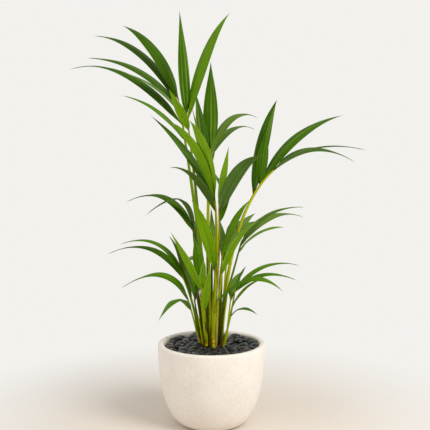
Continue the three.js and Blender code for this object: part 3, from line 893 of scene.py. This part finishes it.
def blade_recipe(name, skins, dry):
    """Grows a blade at each foot, in the pair of skins that its tint mark picks."""
    tree, given = new_recipe(name, BLADE)
    layers = tree.nodes.new("GeometryNodeJoinGeometry")
    for layer in (1, -1):
        blades = wire(tree, "GeometryNodeInstanceOnPoints", given["Geometry"], None,
                      blank_blade(tree, given, layer))
        tree.links.new(blades.socket, layers.inputs[0])
    cloth = wire(tree, "GeometryNodeRealizeInstances", Flow(layers.outputs[0]))

    along, side, layer = [mark(tree, title) for title in ("along", "side", "layer")]
    line, across, up = leaflet_line(tree, along)
    sideways, height = blade_section(tree, given, along, side, layer)
    cloth = wire(tree, "GeometryNodeSetPosition", cloth, None,
                 line + (across * sideways + up * height))
    number = mark(tree, "number") * 2.0 + above(layer, 0.0)
    cloth = store(cloth, "number", number, "FLOAT", "FACE")

    choices, tint = [], mark(tree, "tint")
    for place, sides in enumerate(skins):
        for material, wanted in zip(sides, (1, -1)):
            chosen = wire(tree, "FunctionNodeBooleanMath", is_near(tint, place),
                          is_near(layer, wanted), operation="AND")
            choices.append((chosen, material))
    if dry:
        choices.append((above(along, mark(tree, "dry_from")), dry))
    finish_recipe(cloth, choices, WELD)
    return tree


print("leaflet tints:", ", ".join(SKINS))

# %% [markdown]
# Each piece is unrolled onto one picture for the export: every leaflet side or stalk is one
# strip, and the strips are stacked in columns with a small gap, so that the patterns stay
# sharp and no two surfaces share a place.

# %% Unrolling the strips
STRIP_GAP, COLUMN_GAP = 0.08, 0.02


def unroll(piece, columns):
    """Lays the numbered strips of a piece side by side on a map of their own."""
    mesh = piece.data
    corners = len(mesh.loops)
    flat = np.zeros(corners * 2)
    mesh.uv_layers["strip"].data.foreach_get("uv", flat)
    flat = flat.reshape(-1, 2)
    starts = np.array([face.loop_start for face in mesh.polygons])
    totals = np.array([face.loop_total for face in mesh.polygons])
    owner = np.repeat(np.arange(len(starts)), totals)
    low = np.minimum.reduceat(flat[:, 1], starts)
    high = np.maximum.reduceat(flat[:, 1], starts)
    wraps = (high - low > 0.5)[owner] & (flat[:, 1] < 0.5)
    flat[wraps, 1] += 1
    mesh.uv_layers["strip"].data.foreach_set("uv", flat.ravel())
    number = np.zeros(len(starts))
    mesh.attributes["number"].data.foreach_get("value", number)
    number = np.unique(np.rint(number), return_inverse=True)[1][owner]
    rows = math.ceil((number.max() + 1) / columns)
    placed = np.empty_like(flat)
    placed[:, 0] = (number // rows + COLUMN_GAP / 2 + flat[:, 0] * (1 - COLUMN_GAP)) / columns
    placed[:, 1] = (number % rows + STRIP_GAP / 2 + flat[:, 1].clip(0, 1) * (1 - STRIP_GAP)) / rows
    mesh.uv_layers.new(name="OFBake").data.foreach_set("uv", placed.ravel())


print("each strip fills", 1 - STRIP_GAP, "of its row")

# %% [markdown]
# Old, dark leaflets and young, fresh ones are two pieces, because the record gives them two
# slots, but both grow from the same recipe. Only the seeds differ: one point for each leaflet,
# which carries its marks. Small accidents are drawn here from one seeded source of chance: how
# far a blade is folded, how its margin ripples, and whether its tip has dried.

# %% Growing the leaflets
KINDS = {
    "leaflets_dark": ("dark_leaf", ["frond_tall_left", "frond_dark_back", "frond_centre_right",
                                    "frond_tall_right", "frond_right_mid", "frond_right_low",
                                    "frond_back_tall", "frond_back_low"]),
    "leaflets_fresh": ("fresh_leaf", ["frond_young_upright", "frond_centre", "frond_left_upper",
                                      "frond_centre_leaf", "frond_left_mid", "frond_left_low",
                                      "frond_front", "frond_right_inner", "frond_front_low",
                                      "frond_back_left", "frond_back_right", "frond_side_low"]),
}
BLADE_MARKS = ("foot", "reach", "arch", "knee", "half_width", "turn", "twist", "fold", "ripple",
               "phase", "tint", "dry_from")
KNEE = 0.4
RIPPLE = 0.05
DRY_SHARE, DRY_FROM, NEVER = 0.4, 0.972, 2


def blade_seed(name, rows):
    """One point for each blade, with the marks that the recipe reads."""
    marks = dict(zip(BLADE_MARKS, zip(*rows)))
    return seed_mesh(name, marks["foot"], [], {**marks, "number": range(len(rows))})


def leaflet_rows(fronds, tints, chance):
    """The marks of every leaflet. The little accidents of growth are drawn here."""
    rows = []
    for frond in fronds:
        rib = rib_controls(*FRONDS[frond][:5])
        for place, right, back, up, arch, width, turn, tint, twist, *knee in FRONDS[frond][-1]:
            rows.append((
                bezier(rib, place), Vector((right, back, up)) * CM, arch * CM, (knee or [KNEE])[0],
                width * CM / 2, turn, twist, chance.uniform(0.6, 1.4),
                RIPPLE * chance.uniform(0.3, 1), chance.uniform(0, 2 * math.pi),
                tints.index(tint), DRY_FROM if chance.random() < DRY_SHARE else NEVER))
    return rows


leaf_chance = random.Random(21)
for name, (slot, fronds) in KINDS.items():
    tints = sorted({leaflet[7] for frond in fronds for leaflet in FRONDS[frond][-1]})
    recipe = blade_recipe(name + "_recipe", [SKINS[tint] for tint in tints], DRY_TIP)
    seed = blade_seed(name + "_feet", leaflet_rows(fronds, tints, leaf_chance))
    piece = grow(name, seed, recipe, BLADE, sharp=40)
    unroll(piece, 4)
    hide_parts(*fronds)
    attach(piece, "root")

# %% [markdown]
# ## Stalks and canes
# A frond's stalk is grooved on its upper side and thins towards the tip of the rib. Its foot is a
# sheath that wraps the cane: a palm's cane is little more than these nested sheaths. So each
# stalk starts on the cane's own middle line, as wide as the cane, and slides out to its seat.
# One recipe makes both: it sweeps a ring with a groove and faint ridges along a line, as thick
# as the line's own marks say. A bevelled curve would do for a plain rod, but not for the groove.

# %% The stalk recipe
ROUND = {"Sides": 20, "Groove": 0.22, "Ridges": 7.0, "Ridge depth": 0.02}
GROOVE_SHARPNESS = 6.0
BAND_EDGE = 0.55


def stalk_recipe(name, bands):
    """Sweeps a grooved and faintly ridged ring along each line, as thick as its marks say."""
    tree, given = new_recipe(name, ROUND)
    line = wire(tree, "GeometryNodeMeshToCurve", given["Geometry"])
    line = wire(tree, "GeometryNodeSetCurveNormal", line, None,
                mark(tree, "facing", "FLOAT_VECTOR"), mode="FREE")
    line = store(line, "along", wire(tree, "GeometryNodeSplineParameter"))
    ring = wire(tree, "GeometryNodeCurvePrimitiveCircle", given["Sides"], 1.0)
    ring = store(ring, "around", wire(tree, "GeometryNodeSplineParameter"))
    angle = mark(tree, "around") * (2 * math.pi)
    ridges = reckon("COSINE", angle * given["Ridges"])
    groove = reckon("MAXIMUM", reckon("COSINE", angle), 0.0) ** GROOVE_SHARPNESS
    out = ridges * given["Ridge depth"] + 1.0 - groove * given["Groove"]
    ring = wire(tree, "GeometryNodeSetPosition", ring, None,
                wire(tree, "GeometryNodeInputPosition") * out)
    skin = wire(tree, "GeometryNodeCurveToMesh", line, ring, mark(tree, "thick"), True)
    strip = wire(tree, "ShaderNodeCombineXYZ", mark(tree, "along"), mark(tree, "around"))
    skin = store(skin, "strip", strip, "FLOAT2", "CORNER")
    skin = store(skin, "number", mark(tree, "number"), "FLOAT", "FACE")
    band = mark(tree, "band")
    finish_recipe(skin, [(above(band, place - BAND_EDGE), material)
                         for place, material in enumerate(bands)])
    return tree


def line_seed(name, lines):
    """Lines as chains of points, each point with its thickness, facing and band."""
    points, edges = [], []
    marks = {"thick": [], "facing": [], "band": [], "number": []}
    for number, line in enumerate(lines):
        edges += [(len(points) + step, len(points) + step + 1) for step in range(len(line) - 1)]
        for point, thick, facing, band in line:
            points.append(point)
            for key, value in zip(marks, (thick, facing, band, number)):
                marks[key].append(value)
    return seed_mesh(name, points, edges, marks)


print("a ring has", ROUND["Sides"], "sides")

# %% [markdown]
# A cane stands on the soil, flares a little at its foot and narrows towards its top. Rings of
# orange scar tissue mark where old leaves fell, close together because the plant is young. Each
# ring is a short swelling of the line, with a band mark that gives it its own finish. The feet
# are gathered a little towards the middle of the clump, because pebbles hide where they start.

# %% The canes
FIRST_RING, RING_GAPS = (0.022, 0.034), (0.032, 0.05)
RING_SWELL = 0.0005
RING_HALF = 0.0014
CANE_STEP = 0.0007
CANE_TOP = 0.8
CANE_SLIM, CANE_FLARE = 0.68, 1.2
GATHER = 0.82
# The sunlit and shaded bands deal the lit copy of the cane skin or its darker copy, which is
# painted shade.
SUNLIT, SHADED, SCARRED = 0, 1, 2
SHADED_CANES = ["stem_back"]
FRONT = Vector((0, -1, 0))


def cane_share(stem, height):
    """How far up its stem a height is, from 0 at the soil to 1 at the stem's top."""
    return (height - STEM_START) / (STEMS[stem][1][2] * CM - STEM_START)


def cane_radius(stem, height):
    """Radius of a cane at a height, by the source's rule, narrowed towards its top."""
    share = min(1, max(0, cane_share(stem, height)))
    flare = 1 + (CANE_FLARE - 1) * (1 - share) ** 3
    return STEMS[stem][2] * CM * CANE_SLIM * flare * (1 - (1 - CANE_TOP) * share ** 2)


def cane_point(stem, height):
    """The middle of a cane at a height."""
    foot, top, _ = STEMS[stem]
    middle = (Vector(foot) * GATHER).lerp(Vector(top[:2]), cane_share(stem, height)) * CM
    return Vector((*middle, height))


def cane_line(stem, chance):
    """A cane from the soil to its top, with swollen scars at uneven gaps."""
    end = STEMS[stem][1][2] * CM
    scars, height = [], STEM_START + chance.uniform(*FIRST_RING)
    while height < end:
        scars.append(height)
        height += chance.uniform(*RING_GAPS)
    line, height = [], STEM_START
    tone = SHADED if stem in SHADED_CANES else SUNLIT
    while height < end:
        near = min(abs(height - scar) for scar in scars)
        swell = RING_SWELL * math.exp(-((near / RING_HALF) ** 2))
        line.append((cane_point(stem, height), cane_radius(stem, height) + swell, FRONT,
                     SCARRED if near < RING_HALF else tone))
        height += CANE_STEP if near < 3 * RING_HALF else 4 * CANE_STEP
    return line


print("cane at the soil:", round(2 * cane_radius("stem_centre", SOIL_TOP) / MM, 1), "mm across")

# %% [markdown]
# Between the canes stand young shoots that haven't opened yet, each a rod with a long point. They
# make the clump as crowded at the soil as a real one is. Each has its place at the soil, its
# tip, its radius and its finish, 0 for a sunlit rod and 1 for a shaded one, and it leans out more
# and more on the way up. They go into one piece with the canes.

# %% Young shoots
SHOOTS = [
    ((-2.5, 1.2), (-3.0, 1.4, 38), 0.34, 1), ((-1.3, 0.2), (-1.3, 0.6, 48), 0.34, 1),
    ((-2.7, 0.2), (-4.7, 0.0, 39.5), 0.36, 1), ((-2.1, -0.6), (-3.7, -0.8, 41), 0.32, 0),
    ((-0.5, -0.8), (-0.6, -0.5, 50), 0.36, 0), ((1.6, -0.9), (2.1, -1.2, 38), 0.32, 0),
    ((0.0, 0.7), (0.1, 1.0, 57), 0.42, 1), ((1.8, 1.3), (2.6, 1.7, 46), 0.32, 1),
    ((2.2, 0.3), (2.4, 0.4, 44), 0.38, 1), ((2.7, 1.8), (4.6, 2.4, 42), 0.32, 1),
    ((4.0, -0.4), (5.2, -0.8, 30), 0.28, 0), ((-3.8, -0.6), (-4.9, -1.0, 29), 0.24, 0),
    ((-3.3, 1.1), (-5.2, 1.2, 36), 0.34, 1), ((-1.8, 0.9), (-2.8, 0.8, 43), 0.34, 0),
    ((-2.8, -0.9), (-4.2, -1.3, 33), 0.3, 0), ((3.4, 0.6), (4.7, 0.9, 38), 0.34, 0),
    ((3.0, -0.6), (4.0, -0.8, 36), 0.3, 1), ((2.9, 0.5), (3.1, 0.5, 47), 0.4, 1),
    ((-2.8, 1.6), (-4.4, 1.8, 41), 0.42, 1),
]
SHOOT_STEPS = 24
SHOOT_BOW, SHOOT_TAPER = 0.5, 0.35
POINT_FROM, POINT_TAPER = 0.8, 0.6


def shoot_line(foot, top, radius, band):
    """A young shoot: a rod that narrows a little on its way up and ends in a long point."""
    start = Vector((*foot, 0)) * GATHER * CM + UP * STEM_START
    end = Vector(top) * CM
    line = []
    for step in range(SHOOT_STEPS + 1):
        share = step / SHOOT_STEPS
        bow = Vector((*(end - start).xy, 0)) * (share * share - share) * SHOOT_BOW
        point = POINT_TAPER * max(0, share - POINT_FROM) / (1 - POINT_FROM)
        thick = radius * CM * (1 - SHOOT_TAPER * share - point)
        line.append((start.lerp(end, share) + bow, thick, FRONT, band))
    return line


cane_chance = random.Random(5)
lines = [cane_line(stem, cane_chance) for stem in STEMS] + [shoot_line(*row) for row in SHOOTS]
canes = grow("canes", line_seed("cane_lines", lines),
             stalk_recipe("cane_recipe", [CANE, CANE_PAINTED_SHADE, SCAR]),
             {**ROUND, "Groove": 0.0, "Ridges": 9.0, "Ridge depth": 0.018}, sharp=50)
unroll(canes, 1)
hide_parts(*STEMS)
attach(canes, "root")

# %% [markdown]
# A stalk's line begins low on the cane, as a sheath a little wider than it, slides out to the
# frond's seat, and follows the rib to a short point. Where several sheaths share a cane, each is
# a layer wider than the one before, so that no two skins lie in the same place. Each tint of
# stalk is a band of the recipe.

# %% The stalks
RIB_TIP = 0.0013
RIB_POINT, POINT_STEEPNESS = 0.3, 12
SHEATH_FOOT = (0.3, 0.7)
SHEATH_OVER, SHEATH_LAYER = 0.0006, 0.00036
STALK_SWELL, SWELL_FADE = 0.12, 9
SHEATH_STEPS, RIB_STEPS = 16, 34


def stalk_line(frond, band, chance):
    """Sheath and rib of one frond: from round the cane, out to the seat, and up the rib."""
    stem, seat, stalk, through, tip = FRONDS[frond][:5]
    rib = rib_controls(stem, seat, stalk, through, tip)
    stalk *= CM
    lean = Vector((*(rib[2] - rib[0]).xy, 0)).normalized()
    aside = lean.cross(UP).normalized()
    low = SOIL_TOP + (rib[0].z - SOIL_TOP) * chance.uniform(*SHEATH_FOOT)
    layer = [name for name in FRONDS if FRONDS[name][0] == stem].index(frond)
    line = []
    for step in range(SHEATH_STEPS):
        share = step / SHEATH_STEPS
        height = low + (rib[0].z - low) * share
        ease = share * share * (3 - 2 * share)
        point = cane_point(stem, height).lerp(Vector((rib[0].x, rib[0].y, height)), ease)
        wide = cane_radius(stem, height) + SHEATH_OVER + layer * SHEATH_LAYER
        line.append((point, wide + (stalk * (1 + STALK_SWELL) - wide) * ease, -lean, band))
    for step in range(RIB_STEPS + 1):
        share = step / RIB_STEPS
        heading = (rib[1] - rib[0]).lerp(rib[2] - rib[1], share).normalized()
        swell = 1 + STALK_SWELL * math.exp(-share * SWELL_FADE)
        thick = (stalk + (RIB_TIP - stalk) * share ** 3) * swell
        thick *= min(1, RIB_POINT + (1 - share) * POINT_STEEPNESS)
        line.append((bezier(rib, share), thick, aside.cross(heading), band))
    return line


bands = list(STALKS)
for name, (slot, fronds) in KINDS.items():
    name = name.replace("leaflets", "stalks")
    lines = [stalk_line(frond, bands.index(FRONDS[frond][5]), cane_chance) for frond in fronds]
    piece = grow(name, line_seed(name + "_lines", lines),
                 stalk_recipe(name + "_recipe", list(STALKS.values())), ROUND, sharp=60)
    unroll(piece, 1)
    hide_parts(*fronds)
    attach(piece, "root")

# %% [markdown]
# ## Dry sheaths
# Round the foot of a cane hang the sheaths of leaves that fell long ago: papery, brown or tan,
# wide where they clasp the cane and pointed above. Each is a blade like a leaflet's, only as
# wide as its foot from the start and folded hard round the cane, so the leaflet recipe grows
# them too, turned half round so that the fold's back looks outwards.

# %% Dry sheaths
DRY_SHEATHS = [
    ("stem_left", 21.2, 20, 6.5, 0.2, "brown"), ("stem_left", 22.5, 250, 4.5, 0.5, "tan"),
    ("stem_front", 21.2, 190, 9, 0.3, "brown"), ("stem_front", 23, 80, 6, 0.4, "brown"),
    ("stem_centre", 20.8, 200, 8, 0.2, "brown"), ("stem_centre", 21.2, 335, 15, 0.1, "tan"),
    ("stem_centre", 26, 90, 7, 0.5, "brown"), ("stem_ringed", 21.5, 200, 10, 0.2, "brown"),
    ("stem_ringed", 21.2, 345, 7, 0.2, "brown"), ("stem_right", 21, 215, 5.5, 0.3, "brown"),
    ("stem_right", 22, 60, 4.5, 0.5, "brown"), ("stem_back", 21, 250, 9, 0.2, "brown"),
    ("stem_back", 31, 265, 9, 0.5, "brown"), ("stem_back", 24, 80, 8, 0.6, "tan"),
]
CLASP = {**BLADE, "Neck": 1.0, "Shift": 0.6, "Columns": 11, "Rows": 25, "Foot fold": 0.0,
         "Keel": 56.0, "Midrib": 0.0}
CLASP_WIDTH, CLASP_LIFT, CLASP_ARCH = 1.5, 0.0012, 0.001
CLASP_TWIST, CLASP_RIPPLE, HALF_TURN = 8, 0.1, 180


def sheath_row(stem, height, side, length, lean, kind):
    """One dry sheath: its foot on the cane, and a reach that leans a little out of it."""
    angle = math.radians(side)
    out = Vector((math.cos(angle), math.sin(angle), 0))
    middle, wide = cane_point(stem, height * CM), cane_radius(stem, height * CM)
    reach = cane_point(stem, (height + length) * CM) - middle + out * lean * CM
    return (middle + out * (wide + CLASP_LIFT), reach, CLASP_ARCH, KNEE, wide * CLASP_WIDTH,
            HALF_TURN, CLASP_TWIST, 1, CLASP_RIPPLE, side, list(PAPER).index(kind), NEVER)


sheaths = grow("dry_sheaths", blade_seed("sheath_feet", [sheath_row(*row) for row in DRY_SHEATHS]),
               blade_recipe("sheath_recipe", [(skin, skin) for skin in PAPER.values()], None),
               CLASP, sharp=40)
unroll(sheaths, 1)
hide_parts(*STEMS)
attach(sheaths, "root")

# %% [markdown]
# ## Pebbles
# A bag of pebbles tipped into a pot settles until the stones touch. The settling is done on the
# flat: every stone pushes its neighbours away until all keep their distance, the source's stems
# and the pot's wall push back, and a second, looser layer lies over the first, heaped a little
# towards the back. The recipe then puts one of a few pebble shapes at each place.

# %% Settling the pebbles
LAYERS = ((0.2140, 70, 0.0145), (0.2232, 62, 0.0156))
SETTLE_ROUNDS = 160
PEBBLE_HALF = Vector((0.0192, 0.0149, 0.0102))
STEM_ROOM, WALL_ROOM = 0.006, 0.0145
SETTLE_PUSH = 0.3
HEAP, HEAP_JITTER = 0.003, 0.0012
GROWTH, TILT = (0.76, 1.1), 0.2


def settled(count, room, chance):
    """Places on the bed, spread until they keep clear of one another, stems and wall."""
    edge = INNER_RADIUS - WALL_ROOM
    places = np.array([[chance.gauss(0, edge / 2), chance.gauss(0, edge / 2)]
                       for _ in range(count)])
    stems_at = np.array([foot for foot, _, _ in STEMS.values()]) * CM
    for _ in range(SETTLE_ROUNDS):
        apart = places[:, None] - places[None]
        distance = np.linalg.norm(apart, axis=2) + np.eye(count)
        push = np.clip(2 * room - distance, 0, None) * (1 - np.eye(count))
        places = places + (apart / distance[..., None] * push[..., None]).sum(1) * SETTLE_PUSH
        for stem in stems_at:
            off = places - stem
            far = np.linalg.norm(off, axis=1, keepdims=True) + 1e-9
            places = places + off / far * np.clip(room + STEM_ROOM - far, 0, None)
        out = np.linalg.norm(places, axis=1, keepdims=True)
        places = np.where(out > edge, places / out * edge, places)
    return places


pebble_chance = random.Random(11)
pebbles = []
for height, count, room in LAYERS:
    for x, y in settled(count, room, pebble_chance):
        growth = pebble_chance.uniform(*GROWTH)
        tilt = (pebble_chance.gauss(0, TILT), pebble_chance.gauss(0, TILT),
                pebble_chance.uniform(0, math.pi))
        heap = HEAP * max(0, y) / INNER_RADIUS + pebble_chance.uniform(-HEAP_JITTER, HEAP_JITTER)
        pebbles.append(((x, y, height + heap), tilt, PEBBLE_HALF * growth, pebble_chance.random()))
print("pebbles:", len(pebbles))

# %% [markdown]
# A pebble is a ball pushed in and out by soft noise, then stretched three ways. Six such shapes,
# each from its own corner of the noise, are enough, because every copy is turned, tilted and
# sized by its own marks.

# %% The pebble recipe
PEBBLE = {"Subdivisions": 3, "Lumpiness": 0.15}
SHAPES = 6
LUMP_SCALE = 0.8
NOISE_STEP, NOISE_START = 7.3, (2.1, 4.7)


def pebble_recipe(name, skins):
    """Puts one of the shapes at each point, in the skin that its cast mark picks."""
    tree, given = new_recipe(name, PEBBLE)
    shapes = tree.nodes.new("GeometryNodeGeometryToInstance")
    for shape in range(SHAPES):
        ball = wire(tree, "GeometryNodeMeshIcoSphere", 1.0, given["Subdivisions"])
        spot = wire(tree, "GeometryNodeInputPosition")
        moved = reckon("ADD", spot, (NOISE_STEP * shape, *NOISE_START))
        lumps = wire(tree, "ShaderNodeTexNoise", moved, LUMP_SCALE, 1.0) * 2.0 - 1.0
        ball = wire(tree, "GeometryNodeSetPosition", ball, None,
                    spot * (lumps * given["Lumpiness"] + 1.0))
        tree.links.new(ball.socket, shapes.inputs[0])
    turn = wire(tree, "FunctionNodeEulerToRotation", mark(tree, "tilt", "FLOAT_VECTOR"))
    pick = wire(tree, "FunctionNodeFloatToInt", mark(tree, "pick") * SHAPES,
                rounding_mode="FLOOR")
    copies = wire(tree, "GeometryNodeInstanceOnPoints", given["Geometry"], None,
                  Flow(shapes.outputs[0]), True, pick, turn, mark(tree, "size", "FLOAT_VECTOR"))
    cast = mark(tree, "cast")
    finish_recipe(copies, [(is_near(cast, place), skin) for place, skin in enumerate(skins)])
    return tree


print("pebbles come in", SHAPES, "shapes")

# %% [markdown]
# Each pebble is a point that carries its tilt, its size, which shape it takes and its cast. The
# casts are dealt out in a fixed order, in which tan comes up once in nineteen.

# %% Growing the pebbles
casts = [pebble_skin("pebble_black", (4, 4, 5), (20, 21, 22)),
         pebble_skin("pebble_charcoal", (9, 10, 11), (58, 60, 63)),
         pebble_skin("pebble_brown", (14, 12, 9), (70, 58, 44)),
         pebble_skin("pebble_tan", (52, 40, 28), (142, 116, 84))]
deal = [0, 1, 0, 1, 1, 0, 2, 1, 0, 1, 0, 0, 1, 2, 0, 1, 1, 0, 3]
places, tilts, sizes, picks = zip(*pebbles)
seed = seed_mesh("pebble_places", places, [], {
    "tilt": tilts, "size": sizes, "pick": picks,
    "cast": [deal[number % len(deal)] for number in range(len(pebbles))]})
bed = grow("pebbles", seed, pebble_recipe("pebble_recipe", casts), PEBBLE)
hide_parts("pebble_bed")
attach(bed, "root")

# %% [markdown]
# ## The end
# The plant may not outgrow its frame.

# %% The end
print("the plant is built")
